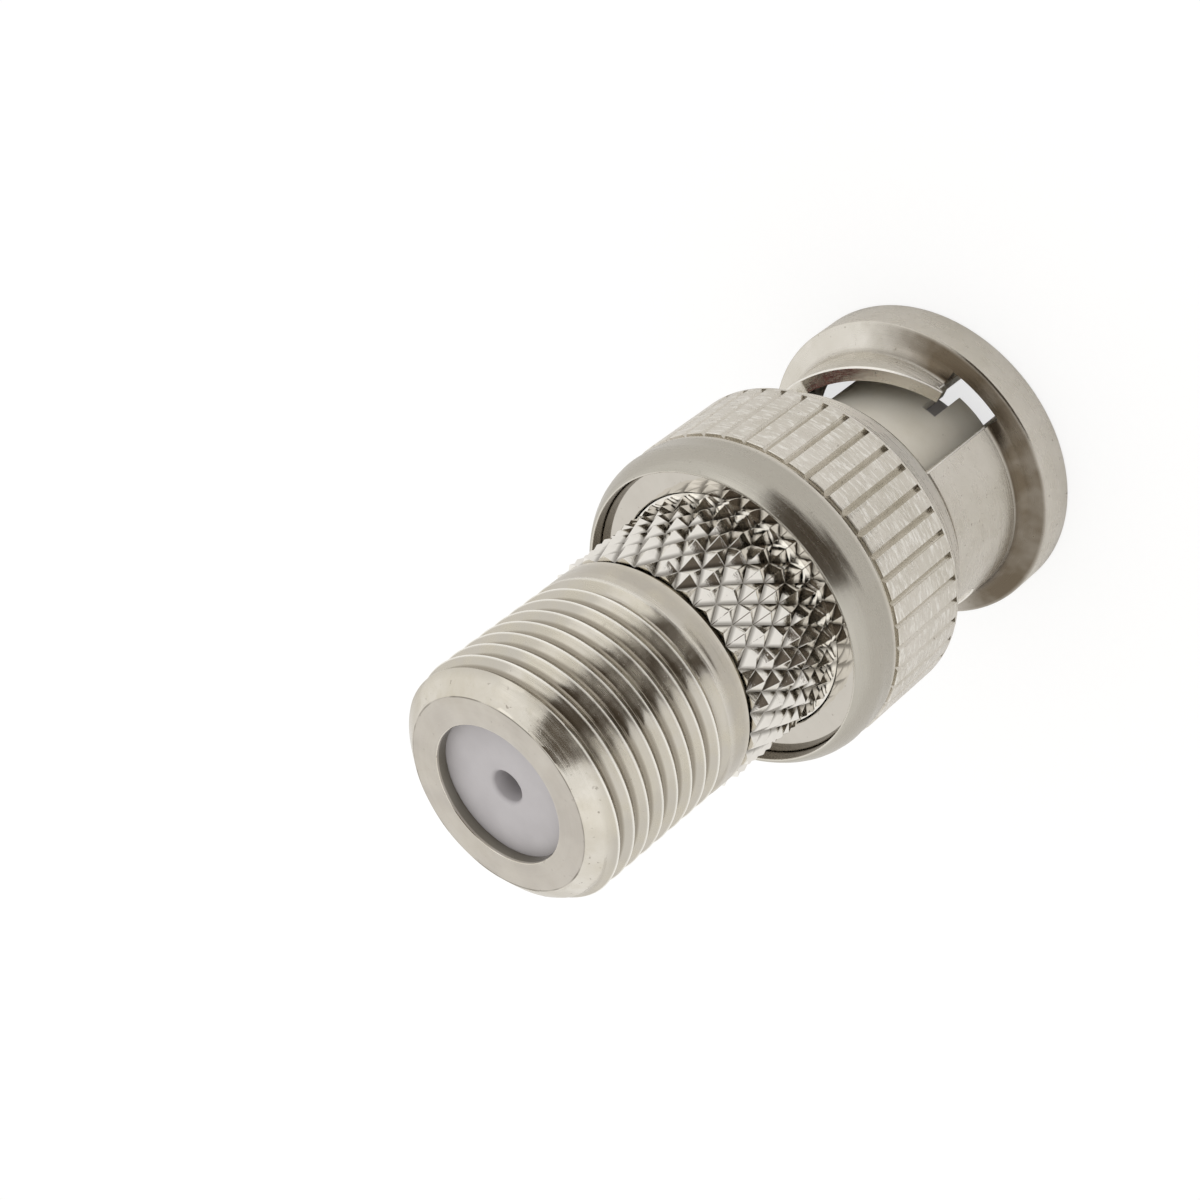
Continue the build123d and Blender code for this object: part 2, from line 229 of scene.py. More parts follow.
def plated_finish():
    """Group: turned and plated metal. Cloudy tarnish, fine turning marks round the axis, small pits."""
    group, given, result = new_finish("plated_finish", {
        "Bright": COLOUR, "Dull": COLOUR, "Smooth": NUMBER, "Rough": NUMBER, "Marks": NUMBER,
        "Pits": NUMBER})
    place, radius, height = polar(group)
    across = group.nodes.new("ShaderNodeSeparateXYZ")
    link(group, place, across.inputs[0])
    along = group.nodes.new("ShaderNodeCombineXYZ")
    link(group, radius, along.inputs["X"])
    link(group, times(group, across.outputs["X"], MARK_DRIFT), along.inputs["Y"])
    link(group, height, along.inputs["Z"])
    clouds = noise(group, place, 420, 4, 0.6)
    patches = noise(group, place, 1500, 3, 0.55)
    turning = noise(group, along.outputs[0], 9000, 3, 0.7)
    grain = noise(group, place, 16000, 2, 0.5)
    specks = remap(group, noise(group, place, 5200, 2, 0.5), 0.69, 0.75)
    specks = times(group, specks, given["Pits"])
    tarnish = value_node(group, "ADD", remap(group, clouds, 0.35, 0.68, 0.0, 0.75),
                         remap(group, patches, 0.5, 0.75, 0.0, 0.35), clamp=True)
    colour = blend_colours(group, tarnish, given["Bright"], given["Dull"])
    link(group, blend_colours(group, specks, colour, PIT_COLOUR), result["Color"])
    rough = value_node(group, "ADD", times(group, turning, 0.6), times(group, patches, 0.4))
    rough = remap(group, rough, 0.35, 0.65, given["Smooth"], given["Rough"])
    link(group, value_node(group, "ADD", rough, times(group, specks, 0.3)), result["Roughness"])
    relief = value_node(group, "ADD", times(group, turning, given["Marks"]), times(group, grain, 0.25))
    link(group, value_node(group, "SUBTRACT", relief, specks), result["Height"])
    return group


PLATED = plated_finish()


def new_material(name):
    """A material with nodes, its node tree and the shader in it."""
    material = bpy.data.materials.new(name)
    material.use_nodes = True
    return material, material.node_tree, material.node_tree.nodes["Principled BSDF"]


def finished(name, finish, relief, **values):
    """A material with a shared finish and its own values. Relief is the bump's depth in micrometres."""
    material, tree, shader = new_material(name)
    node = tree.nodes.new("ShaderNodeGroup")
    node.node_tree = finish
    for socket, given in values.items():
        node.inputs[socket].default_value = (*given, 1) if isinstance(given, tuple) else given
    bump = tree.nodes.new("ShaderNodeBump")
    bump.inputs["Strength"].default_value = 1.0
    bump.inputs["Distance"].default_value = relief * 1e-6
    link(tree, node.outputs["Height"], bump.inputs["Height"])
    link(tree, bump.outputs["Normal"], shader.inputs["Normal"])
    link(tree, node.outputs["Color"], shader.inputs["Base Color"])
    link(tree, node.outputs["Roughness"], shader.inputs["Roughness"])
    return material


def plated_metal(name, bright, dull, smooth, rough, marks, pits, relief, metal=1.0):
    """A metal with the shared plated finish."""
    material = finished(name, PLATED, relief, Bright=bright, Dull=dull, Smooth=smooth, Rough=rough,
                        Marks=marks, Pits=pits)
    material.node_tree.nodes["Principled BSDF"].inputs["Metallic"].default_value = metal
    return material


def rise(tree, value, none, full):
    """A mask of a value in metres: 0 up to the first limit in millimetres, 1 from the second one on."""
    return remap(tree, value, none * MM, full * MM)


def band(tree, value, low, high, soft):
    """A mask that is 1 between two limits in millimetres, with soft ends outside them."""
    return times(tree, rise(tree, value, low - soft, low), rise(tree, value, high + soft, high))


def patchy(tree, where, scale, low, high, weak, strong, detail=3, roughness=0.55):
    """A mask in patches: weak where the noise is below its low value, strong above the high one."""
    return remap(tree, noise(tree, where, scale, detail, roughness), low, high, weak, strong)


def fed(socket):
    """What an input is given: the output linked to it, or else its own value."""
    return socket.links[0].from_socket if socket.links else socket.default_value


def touched(tree, mask, colour, strength=1.0, rougher=0.0, less_metal=0.0):
    """Lays a local change of colour, roughness and metal over a material, as far as the mask says."""
    base, rough, metal = (tree.nodes["Principled BSDF"].inputs[name]
                          for name in ("Base Color", "Roughness", "Metallic"))
    share = times(tree, mask, strength)
    link(tree, blend_colours(tree, share, fed(base), colour), base)
    if rougher:
        added = times(tree, share, rougher)
        link(tree, value_node(tree, "ADD", fed(rough), added, clamp=True), rough)
    if less_metal:
        left = value_node(tree, "SUBTRACT", 1.0, times(tree, share, less_metal))
        link(tree, times(tree, left, fed(metal)), metal)


THREAD_R = 4.7625               # 3/8 inch across
THREAD_PITCH = 25.4 / 32
THREAD_DEPTH = 0.3
THREAD_FLAT = 0.12              # share of the wave's height that the flat crests take
THREAD_CREST_Z = 25.523         # of one crest, on the +X side
THREAD_ENDS = (19.45, 20.3)     # the groove grows from nothing to its depth between these heights
PITCH_POINTS = 12
NOSE_R = 3.9
NOSE_LENGTH = 0.7
NOSE_SWELL = 0.95               # under 1 rounds the nose outwards
NOSE_STEP = 0.012               # the last strip of the nose, up to the flat face
RING_LOW_Z = 18.72
nose_low_z = face_z - NOSE_LENGTH
nose_top_z = face_z - NOSE_STEP


def cut_across(bm, height, keep_above):
    """Cuts the mesh square at this height and clears one side."""
    bmesh.ops.bisect_plane(bm, geom=bm.verts[:] + bm.edges[:] + bm.faces[:], dist=1e-8,
                           plane_co=(0, 0, height * MM), plane_no=(0, 0, 1),
                           clear_inner=keep_above, clear_outer=not keep_above)


def thread_outline():
    """One side of the thread along the axis: narrow crests and rounded roots."""
    first = math.floor((RING_LOW_Z - THREAD_CREST_Z) / THREAD_PITCH) - 1
    last = math.ceil((face_z - THREAD_CREST_Z) / THREAD_PITCH) + 1
    outline = []
    for i in range((last - first) * PITCH_POINTS + 1):
        wave = math.sin(math.pi * (i % PITCH_POINTS) / PITCH_POINTS)
        depth = THREAD_DEPTH * max(0, wave - THREAD_FLAT) / (1 - THREAD_FLAT)
        height = THREAD_CREST_Z + THREAD_PITCH * (first + i / PITCH_POINTS)
        outline.append((THREAD_R - depth, height, 0))
    return outline


def cut_thread(bm):
    """A helical thread that fades into a plain ring at its rear and into the nose at its front."""
    wire(bm, thread_outline(), closed=False)
    bmesh.ops.spin(bm, geom=bm.verts[:] + bm.edges[:], cent=(0, 0, 0), axis=(0, 0, 1),
                   dvec=(0, 0, THREAD_PITCH * MM / ROUND_STEPS), angle=math.tau, steps=ROUND_STEPS,
                   use_merge=False, use_duplicate=False)
    bmesh.ops.remove_doubles(bm, verts=bm.verts, dist=1e-6)
    for v in bm.verts:
        height = v.co.z / MM
        radius = math.hypot(v.co.x, v.co.y) / MM
        grown = min(1, max(0, (height - THREAD_ENDS[0]) / (THREAD_ENDS[1] - THREAD_ENDS[0])))
        eased = grown * grown * (3 - 2 * grown)
        wanted = THREAD_R - (THREAD_R - radius) * eased
        into_nose = min(1, max(0, 1 - (face_z - height) / NOSE_LENGTH))
        wanted = min(wanted, NOSE_R + (THREAD_R - NOSE_R) * (1 - into_nose) ** NOSE_SWELL)
        v.co.x *= wanted / radius
        v.co.y *= wanted / radius
    for face in bm.faces:
        face.smooth = True
    cut_across(bm, RING_LOW_Z, keep_above=True)
    cut_across(bm, nose_top_z, keep_above=False)


KNURL_AROUND = 32
KNURL_ROW = 0.786               # between rows of points, each row half a point on from the last
KNURL_DEPTH = 0.28
RIDGE_BREAK = 0.018             # of the four sharp ridges that run down from each point
NECK_R = 4.925                  # over the points
NECK_LOW_Z = 13.0               # the rows are laid out from here and cut off at the plain neck
NECK_TOP_Z = 18.5
PLAIN_NECK_R = 4.94
PLAIN_NECK_TOP_Z = 13.6


def cut_diamond_knurl(bm):
    """Rows of sharp four-sided points, left between grooves that run out in the plain neck below."""
    rows = round((NECK_TOP_Z - NECK_LOW_Z) / KNURL_ROW)
    outline = [(NECK_R, NECK_LOW_Z + i * (NECK_TOP_Z - NECK_LOW_Z) / rows, 0) for i in range(rows + 1)]
    before = set(bm.verts)
    turn(bm, outline, closed=False, steps=2 * KNURL_AROUND)
    new = [v for v in bm.verts if v not in before]
    crossings = []
    for v in new:
        column = round(math.atan2(v.co.y, v.co.x) / math.pi * KNURL_AROUND)
        row = round((v.co.z / MM - NECK_LOW_Z) / (NECK_TOP_Z - NECK_LOW_Z) * rows)
        if (column + row + 1) % 2:
            v.co.x *= (NECK_R - KNURL_DEPTH) / NECK_R
            v.co.y *= (NECK_R - KNURL_DEPTH) / NECK_R
            crossings.append(v)
    bmesh.ops.connect_verts(bm, verts=crossings)
    crossings = set(crossings)
    inner = [e for v in new for e in v.link_edges if len(e.link_faces) == 2]
    ridges = [e for e in dict.fromkeys(inner) if len(crossings & set(e.verts)) == 1]
    bmesh.ops.bevel(bm, geom=ridges, offset=RIDGE_BREAK * MM, offset_type="OFFSET", segments=1,
                    profile=0.5, affect="EDGES", material=-1, clamp_overlap=True)
    for v in bm.verts:
        if v not in before:
            for face in v.link_faces:
                face.smooth = False
    cut_across(bm, PLAIN_NECK_TOP_Z, keep_above=True)


JOIN = 0.01                     # between two turned stretches, closed by a bridge of faces
KNURL_END_DROP = 0.12           # from the knurl's valleys in towards the run-out groove
GROOVE_R = 4.4525
RING_CHAMFER = 0.08
FACE_BORE_R = 2.775
F_BORE_R = 3.1
SLEEVE_STOP_Z = 10.4            # the sleeve and both insulators end at this height
SLEEVE_SEAT_R = 4.12
BOSS_R = 4.75
FLANGE_LOW_Z = 8.63
SPRING_SEAT_Z = 10.63           # the flange's back, where the wave washers rest
ring_base_z = RING_LOW_Z - 2 * JOIN
bm = bmesh.new()
cut_thread(bm)
cut_diamond_knurl(bm)
turn(bm, [(NECK_R - KNURL_DEPTH - KNURL_END_DROP, NECK_TOP_Z + JOIN, 0),
          (GROOVE_R, NECK_TOP_Z + 2 * JOIN), (GROOVE_R, ring_base_z - RING_CHAMFER),
          (THREAD_R - RING_CHAMFER, ring_base_z - RING_CHAMFER), (THREAD_R, ring_base_z, 0)],
     closed=False)
turn(bm, [(NOSE_R, face_z, 0), (FACE_BORE_R, face_z, 0.04), (FACE_BORE_R, lip_z), (F_BORE_R, lip_z),
          (F_BORE_R, SLEEVE_STOP_Z), (SLEEVE_SEAT_R, SLEEVE_STOP_Z), (SLEEVE_SEAT_R, seat_z),
          (BOSS_R, seat_z), (BOSS_R, FLANGE_LOW_Z), (flange_r, FLANGE_LOW_Z), (flange_r, SPRING_SEAT_Z),
          (PLAIN_NECK_R, SPRING_SEAT_Z), (PLAIN_NECK_R, PLAIN_NECK_TOP_Z - JOIN, 0)], closed=False)
for one, two in ((RING_LOW_Z, ring_base_z), (nose_top_z, face_z), (NECK_TOP_Z, NECK_TOP_Z + JOIN),
                 (PLAIN_NECK_TOP_Z, PLAIN_NECK_TOP_Z - JOIN)):
    bmesh.ops.bridge_loops(bm, edges=ring_edges(bm, one) + ring_edges(bm, two))

body_nickel = plated_metal("body_nickel", bright=(0.76, 0.73, 0.67), dull=(0.62, 0.575, 0.48),
                           smooth=0.10, rough=0.25, marks=1.6, pits=0.5, relief=2.2)
FLANK_GREY = (0.54, 0.51, 0.455)
FLANK_STAIN = (0.61, 0.57, 0.48)
# painted shade for the thread's roots
ROOT_SHADE = (0.30, 0.265, 0.21)
# painted highlight for the thread's crests
CREST_HIGHLIGHT = (0.95, 0.93, 0.88)
FACE_GREY = (0.56, 0.525, 0.48)
# painted shade line along the flat face's outer edge
RIM_SHADE_LINE = (0.16, 0.14, 0.11)
# painted shade inside the face's lip
LIP_SHADE = (0.17, 0.16, 0.125)
HANDLED_KNURL = (0.96, 0.945, 0.91)
# painted shade in the diamond knurl's valleys
VALLEY_SHADE = (0.11, 0.095, 0.075)
CREST_WIDTH = 0.05
ROOT_WIDTH = 0.05
OUTSIDE_R = 4.0                 # what lies beyond it, along the thread, is the body's outside
VALLEY_SHADE_DEPTHS = (0.68, 0.92)       # shares of the knurl's depth, where it begins and is full
KNURL_POLISH = 0.35             # the handled knurl's roughness, as a share of the plating's


def stain_and_paint_light_on_thread(tree, place, radius, height):
    """Dull and stained flanks, painted shade in the roots, and a painted highlight along the crests."""
    flanks = times(tree, band(tree, height, RING_LOW_Z + 0.3, nose_low_z, 0.3),
                   band(tree, radius, OUTSIDE_R, THREAD_R, 0.05))
    touched(tree, flanks, FLANK_GREY, strength=0.85)
    stains = patchy(tree, place, 800, 0.42, 0.64, 0.0, 0.8)
    touched(tree, times(tree, stains, flanks), FLANK_STAIN, rougher=0.12, less_metal=0.35)
    # Painted shade in the thread's roots.
    root_r = THREAD_R - THREAD_DEPTH + ROOT_WIDTH / 2
    roots = times(tree, band(tree, radius, OUTSIDE_R, root_r, ROOT_WIDTH),
                  band(tree, height, THREAD_ENDS[1], nose_low_z, 0.02))
    touched(tree, roots, ROOT_SHADE, strength=0.7)
    # Painted highlight along the crests: brighter, rougher and less metallic.
    crests = times(tree, rise(tree, height, *THREAD_ENDS),
                   rise(tree, radius, THREAD_R - CREST_WIDTH, THREAD_R - 0.01))
    touched(tree, crests, CREST_HIGHLIGHT, rougher=0.15, less_metal=0.6)


def grey_and_shade_face(tree, place, radius, height):
    """A greyer, rougher flat face, with a painted shade line along its outer edge and painted shade
    inside its lip.
    """
    face = times(tree, rise(tree, height, face_z - 0.004, face_z - 0.001),
                 patchy(tree, place, 500, 0.35, 0.65, 0.6, 0.95))
    touched(tree, face, FACE_GREY, rougher=0.3)
    # Painted shade line along the face's outer edge, in patches.
    rim = times(tree, band(tree, radius, NOSE_R - 0.035, NOSE_R + 0.01, 0.01),
                rise(tree, height, face_z - 0.03, face_z - 0.02))
    rim = times(tree, rim, patchy(tree, place, 900, 0.4, 0.6, 0.1, 0.7, detail=2, roughness=0.5))
    touched(tree, rim, RIM_SHADE_LINE)
    # Painted shade on the wall inside the lip.
    lip = times(tree, band(tree, radius, FACE_BORE_R - 0.075, FACE_BORE_R + 0.01, 0.005),
                band(tree, height, lip_z, face_z - 0.12, 0.04))
    touched(tree, lip, LIP_SHADE, strength=0.75)


def polish_and_shade_knurl(tree, radius, height):
    """Points polished by fingers, with painted shade in the valleys between them."""
    knurl = band(tree, height, PLAIN_NECK_TOP_Z, NECK_TOP_Z, 0.02)
    touched(tree, knurl, HANDLED_KNURL, strength=0.9)
    # Painted shade in the valleys between the points.
    valleys = rise(tree, radius, *(NECK_R - share * KNURL_DEPTH for share in VALLEY_SHADE_DEPTHS))
    touched(tree, times(tree, knurl, valleys), VALLEY_SHADE, strength=0.65)
    rough = tree.nodes["Principled BSDF"].inputs["Roughness"]
    link(tree, times(tree, fed(rough), remap(tree, knurl, 0, 1, 1, KNURL_POLISH)), rough)


tree = body_nickel.node_tree
place, radius, height = polar(tree)
stain_and_paint_light_on_thread(tree, place, radius, height)
grey_and_shade_face(tree, place, radius, height)
polish_and_shade_knurl(tree, radius, height)
body = piece_from(bm, "body_turned", body_nickel, sharp=25)
even_shading(body)
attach(body, "body")
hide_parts("body")

# Insulator of the F end: a white moulded disc held behind the face's lip, with a funnel that leads the
# centre wire in. Behind it a white tube holds the contact.
cap_low, cap_high = (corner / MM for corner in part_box("f_insulator_cap"))
WIRE_HOLE_R = 0.625
FUNNEL_R = 0.72
FUNNEL_DEPTH = 0.1


def moulded_finish():
    """Group: moulded plastic. Faint mottling of its colour, a fine satin grain."""
    group, given, result = new_finish("moulded_finish", {
        "Base": COLOUR, "Shade": COLOUR, "Smooth": NUMBER, "Rough": NUMBER})
    place = group.nodes.new("ShaderNodeTexCoord").outputs["Object"]
    mottle = remap(group, noise(group, place, 900, 3, 0.5), 0.35, 0.7)
    grain = noise(group, place, 12000, 3, 0.6)
    link(group, blend_colours(group, mottle, given["Base"], given["Shade"]), result["Color"])
    link(group, remap(group, grain, 0.3, 0.7, given["Smooth"], given["Rough"]), result["Roughness"])
    link(group, grain, result["Height"])
    return group


MOULDED = moulded_finish()


def dress(name, material):
    """Gives its material to a node of the CAD model that is shown as it is."""
    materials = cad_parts[name].data.materials
    materials.clear()
    materials.append(material)


white_plastic = finished("white_plastic", MOULDED, relief=2.0, Base=(0.52, 0.50, 0.515),
                         Shade=(0.48, 0.46, 0.475), Smooth=0.4, Rough=0.5)
bm = bmesh.new()
turn(bm, [(WIRE_HOLE_R, cap_low.z, 0.02), (cap_high.x, cap_low.z), (cap_high.x, cap_high.z, 0.1),
          (FUNNEL_R, cap_high.z, 0.06), (WIRE_HOLE_R, cap_high.z - FUNNEL_DEPTH, 0.05)])
cap = piece_from(bm, "f_cap_moulded", white_plastic)
even_shading(cap)
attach(cap, "body")
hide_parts("f_insulator_cap")
dress("f_insulator_sleeve", white_plastic)

# F contact: a gold-plated tube, slotted into four tines, that grips the centre wire. It is pressed on
# the tail of the centre pin.
gold = plated_metal("gold_plate", bright=(0.93, 0.73, 0.36), dull=(0.80, 0.58, 0.25),
                    smooth=0.14, rough=0.24, marks=0.4, pits=0.2, relief=1.0)
dress("f_socket", gold)

# Centre pin: turned, gold plated, with a sharp cone at its tip, a thicker shank in the insulator and a
# tail in the F contact.
pin_low, pin_high = (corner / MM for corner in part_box("centre_pin"))
PIN_R = 0.675
PIN_CONE_LENGTH = 1.2
PIN_POINT_R = 0.03              # where the cone ends in a blunter point
PIN_POINT_LENGTH = 0.015
PIN_TIP_WEAR = 0.02             # off the point's very tip
SHANK_R = 0.9
SHANK_LOW_Z = 6.2
COLLAR_R = 1.1
COLLAR_LOW_Z = 9.4
TAIL_R = 0.5
PIN_STEPS = 96
tip_z = pin_low.z + PIN_TIP_WEAR
bm = bmesh.new()
turn(bm, [(0, tip_z, 0), (PIN_POINT_R, tip_z + PIN_POINT_LENGTH, 0),
          (PIN_R, pin_low.z + PIN_CONE_LENGTH, 0.12), (PIN_R, SHANK_LOW_Z), (SHANK_R, SHANK_LOW_Z),
          (SHANK_R, COLLAR_LOW_Z), (COLLAR_R, COLLAR_LOW_Z), (COLLAR_R, SLEEVE_STOP_Z),
          (TAIL_R, SLEEVE_STOP_Z), (TAIL_R, pin_high.z), (0, pin_high.z, 0)],
     closed=False, steps=PIN_STEPS)
pin = piece_from(bm, "pin_turned", gold)
even_shading(pin)
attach(pin, "body")
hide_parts("centre_pin")

# Insulator of the bayonet end: moulded white plastic, with a deep cup round the pin. Its thinner rear
# spigot is pressed into the back of the outer contact.
plug_low, plug_high = (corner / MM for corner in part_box("bnc_insulator"))
PRESS_GAP = 0.02                # between pieces that are pressed into one another
CUP_R = 2.425
SPIGOT_R = 3.1
SPIGOT_LOW_Z = 8.2
bm = bmesh.new()
turn(bm, [(CUP_R, plug_low.z, 0.12), (plug_high.x, plug_low.z, 0.1), (plug_high.x, SPIGOT_LOW_Z),
          (SPIGOT_R, SPIGOT_LOW_Z), (SPIGOT_R, SLEEVE_STOP_Z), (COLLAR_R + PRESS_GAP, SLEEVE_STOP_Z),
          (COLLAR_R + PRESS_GAP, COLLAR_LOW_Z), (SHANK_R + PRESS_GAP, COLLAR_LOW_Z),
          (SHANK_R + PRESS_GAP, SHANK_LOW_Z), (CUP_R, SHANK_LOW_Z, 0.2)])
plug_insulator = piece_from(bm, "plug_insulator_moulded", white_plastic)
even_shading(plug_insulator)
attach(plug_insulator, "body")
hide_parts("bnc_insulator")

# Outer contact: a nickel-plated sleeve pressed into the body's front and slotted into six springy
# fingers, which grip the inside of the jack.
sleeve_low, sleeve_high = (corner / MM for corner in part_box("outer_contact"))
FINGERS = 6
FINGER_BORE_R = 3.5
FINGER_SLOT = 0.65
FINGER_SLOT_LENGTH = 1.9
FINGER_TURN = 42                # degrees, from the lock hole to the first slot
SLOT_CUTTER_DEPTH = 2.0         # well over the wall of the fingers


def boxed(bm, size, centre, turn_z):
    """Adds a box of this size and centre, in millimetres, turned about the axis."""
    made = bmesh.ops.create_cube(bm, size=MM)["verts"]
    bmesh.ops.scale(bm, vec=size, verts=made)
    bmesh.ops.translate(bm, vec=Vector(centre) * MM, verts=made)
    bmesh.ops.rotate(bm, cent=(0, 0, 0), matrix=Matrix.Rotation(turn_z, 3, "Z"), verts=made)


def carve(piece, cutter_bm):
    """Cuts the shapes of one mesh out of a piece."""
    bmesh.ops.recalc_face_normals(cutter_bm, faces=cutter_bm.faces)
    cutter_mesh = bpy.data.meshes.new("cutter")
    cutter_bm.to_mesh(cutter_mesh)
    cutter_bm.free()
    cutter = bpy.data.objects.new("cutter", cutter_mesh)
    bpy.context.scene.collection.objects.link(cutter)
    cut = piece.modifiers.new("cut", "BOOLEAN")
    cut.operation = "DIFFERENCE"
    cut.solver = "EXACT"
    cut.object = cutter
    bpy.context.view_layer.update()
    shown = piece.evaluated_get(bpy.context.evaluated_depsgraph_get())
    carved = bpy.data.meshes.new_from_object(shown)
    piece.modifiers.clear()
    bpy.data.objects.remove(cutter)
    old = piece.data
    piece.data = carved
    bpy.data.meshes.remove(old)
    carved.name = piece.name
    carved.set_sharp_from_angle(angle=math.radians(SHARP_ANGLE))


bm = bmesh.new()
turn(bm, [(FINGER_BORE_R, sleeve_low.z, 0.05), (sleeve_high.x, sleeve_low.z, 0.2),
          (sleeve_high.x, SLEEVE_STOP_Z), (SPIGOT_R + PRESS_GAP, SLEEVE_STOP_Z),
          (SPIGOT_R + PRESS_GAP, SPIGOT_LOW_Z), (FINGER_BORE_R, SPIGOT_LOW_Z)])
sleeve_nickel = plated_metal("sleeve_nickel", bright=(0.84, 0.81, 0.73), dull=(0.77, 0.73, 0.635),
                             smooth=0.38, rough=0.5, marks=0.6, pits=0.2, relief=1.5, metal=0.4)
sleeve = piece_from(bm, "sleeve_slotted", sleeve_nickel)
slots = bmesh.new()
for i in range(FINGERS):
    boxed(slots, size=(SLOT_CUTTER_DEPTH, FINGER_SLOT, 2 * FINGER_SLOT_LENGTH),
          centre=((FINGER_BORE_R + sleeve_high.x) / 2, 0, sleeve_low.z),
          turn_z=math.radians(FINGER_TURN) + i * math.tau / FINGERS)
carve(sleeve, slots)
even_shading(sleeve)
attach(sleeve, "body")
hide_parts("outer_contact")

# Gasket: a soft ring moulded from dark red silicone, pushed over the sleeve against the body's front.
# It seals the joint when the jack's mouth presses on it.
gasket_low, gasket_high = (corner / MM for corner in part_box("gasket"))
GASKET_BORE_R = 4.18
red_silicone = finished("red_silicone", MOULDED, relief=3.0, Base=(0.20, 0.010, 0.012),
                        Shade=(0.14, 0.008, 0.010), Smooth=0.35, Rough=0.5)
bm = bmesh.new()
turn(bm, [(GASKET_BORE_R, gasket_low.z, 0.2), (gasket_high.x, gasket_low.z, 0.22),
          (gasket_high.x, gasket_high.z, 0.1), (GASKET_BORE_R, gasket_high.z, 0.1)])
gasket = piece_from(bm, "gasket_ring", red_silicone)
even_shading(gasket)
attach(gasket, "body")
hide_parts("gasket")

# Wave washers: two nested springs of thin hardened steel strip between the body's flange and the thrust
# washer. They flatten as the nut is pulled forward.
spring_steel = plated_metal("spring_steel", bright=(0.60, 0.60, 0.60), dull=(0.42, 0.41, 0.40),
                            smooth=0.25, rough=0.4, marks=0.6, pits=0.6, relief=1.5)
for name in ("wave_washer_front", "wave_washer_rear"):
    bm = bmesh.new()
    bm.from_mesh(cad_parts[name].data)
    bmesh.ops.remove_doubles(bm, verts=bm.verts, dist=1e-7)
    spring = piece_from(bm, name.replace("washer", "spring"), spring_steel)
    even_shading(spring)
    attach(spring, "body")
    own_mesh(spring)
    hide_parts(name)

# Thrust washer: a flat ring stamped from brass and nickel plated. It lies loose between the springs and
# the rear washer, which turns on it with the nut.
dress("thrust_washer", body_nickel)

# Coupling nut: turned from brass bar and satin nickel plated, with a straight knurl for the fingers.
# Two cam slots are milled through its barrel and two entry notches into its front flange.
nut_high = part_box("coupling_nut")[1] / MM
washer_low, washer_high = (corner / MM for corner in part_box("rear_washer"))
nut_top = nut_high.z
knurl_r = nut_high.x
NUT_STEPS = 288
NUT_BORE_R = 4.9
MOUTH_R = 5.55                  # the front end of the bore, opened by a short cone
MOUTH_DEPTH = 0.7
FRONT_FLANGE_R = 6.55
FRONT_FLANGE_TOP_Z = 1.65
BARREL_R = 5.5
BARREL_LOW_Z = 2.2
BARREL_TOP_Z = 6.35
BARREL_FILLET = 0.3
STEP_TOP = (5.82, 6.72)         # radius and height, of the small step behind the barrel
CONE_LOW = (5.88, 6.86)
CONE_TOP = (6.34, 7.85)
KNURL_LOW_Z = 8.2
KNURL_TOP_Z = 12.12
UNDERCUT_R = 6.5
UNDERCUT_WIDTH = 0.16
REAR_BAND_DROP = 0.05           # the plain band behind the knurl is this much smaller
BEVEL_LOW_Z = 12.9
BEVEL_POINTS = 5
BEVEL_SWELL = (0.1222, 0.0442)  # outwards and up, at the middle of the rounded bevel
REAR_RIM_R = 6.22
CHAMBER_R = 5.95                # the room in which the body's flange and the springs lie
SLIDE_GAP = 0.03
chamber_low_z = FLANGE_LOW_Z - SLIDE_GAP
recess_r = washer_high.x + PRESS_GAP
undercut_top_z = KNURL_TOP_Z + UNDERCUT_WIDTH
rear_band_r = knurl_r - REAR_BAND_DROP


def rounded_bevel():
    """The bevel from the knurl's rear to the rim, as points on a shallow arc."""
    arc = []
    for i in range(1, BEVEL_POINTS + 1):
        share = i / (BEVEL_POINTS + 1)
        swell = math.sin(math.pi * share)
        arc.append((knurl_r + (REAR_RIM_R - knurl_r) * share + BEVEL_SWELL[0] * swell,
                    BEVEL_LOW_Z + (nut_top - BEVEL_LOW_Z) * share + BEVEL_SWELL[1] * swell, 0))
    return arc


LOCK_HOLE_R = 1.2
LOCK_HOLE_STEPS = 24            # of the half circle at the slot's closed end
LOCK_Z = 5.15
NOTCH_HALF = 1.1
RAMP_FOOT = (80, 2.8)           # degrees from the lock hole's centre, height
RAMP_PEAK = (17, 4.2)
DETENT_END = (8, 3.95)
PEAK_ROUNDING = (2.4, 0.048)    # degrees on each side of the peak, and the drop there
FOOT_ROUNDING = ((0.2, 0.02), (0.05, 0.1))      # along and down, from the notch's near side
ENTRY_R = 5.85                  # the notches reach this far out into the flange
CUTTER_INNER_R = 4.0


def slot_outline(grow):
    """The flattened outline of one slot at the barrel's outside: length round it, and height."""
    def across(degrees):
        return math.radians(degrees) * BARREL_R
    middle = -across(90)
    near, far = middle + NOTCH_HALF + grow, middle - NOTCH_HALF - grow
    hole = LOCK_HOLE_R + grow
    points = [(near, -1), (far, -1), (far, LOCK_Z + hole)]
    for i in range(LOCK_HOLE_STEPS + 1):
        turned_by = math.radians(90 - i * 180 / LOCK_HOLE_STEPS)
        points.append((hole * math.cos(turned_by), LOCK_Z + hole * math.sin(turned_by)))
    points.append((-across(DETENT_END[0]), DETENT_END[1] - grow))
    for side in (-1, 0, 1):
        points.append((-across(RAMP_PEAK[0] + side * PEAK_ROUNDING[0]),
                       RAMP_PEAK[1] - grow - abs(side) * PEAK_ROUNDING[1]))
    points.append((-across(RAMP_FOOT[0]), RAMP_FOOT[1] - grow))
    for along, drop in FOOT_ROUNDING:
        points.append((near + along, RAMP_FOOT[1] - grow - drop))
    return points


BEND_STEP = 2.5                 # degrees between the cuts at which a flat cutter bends


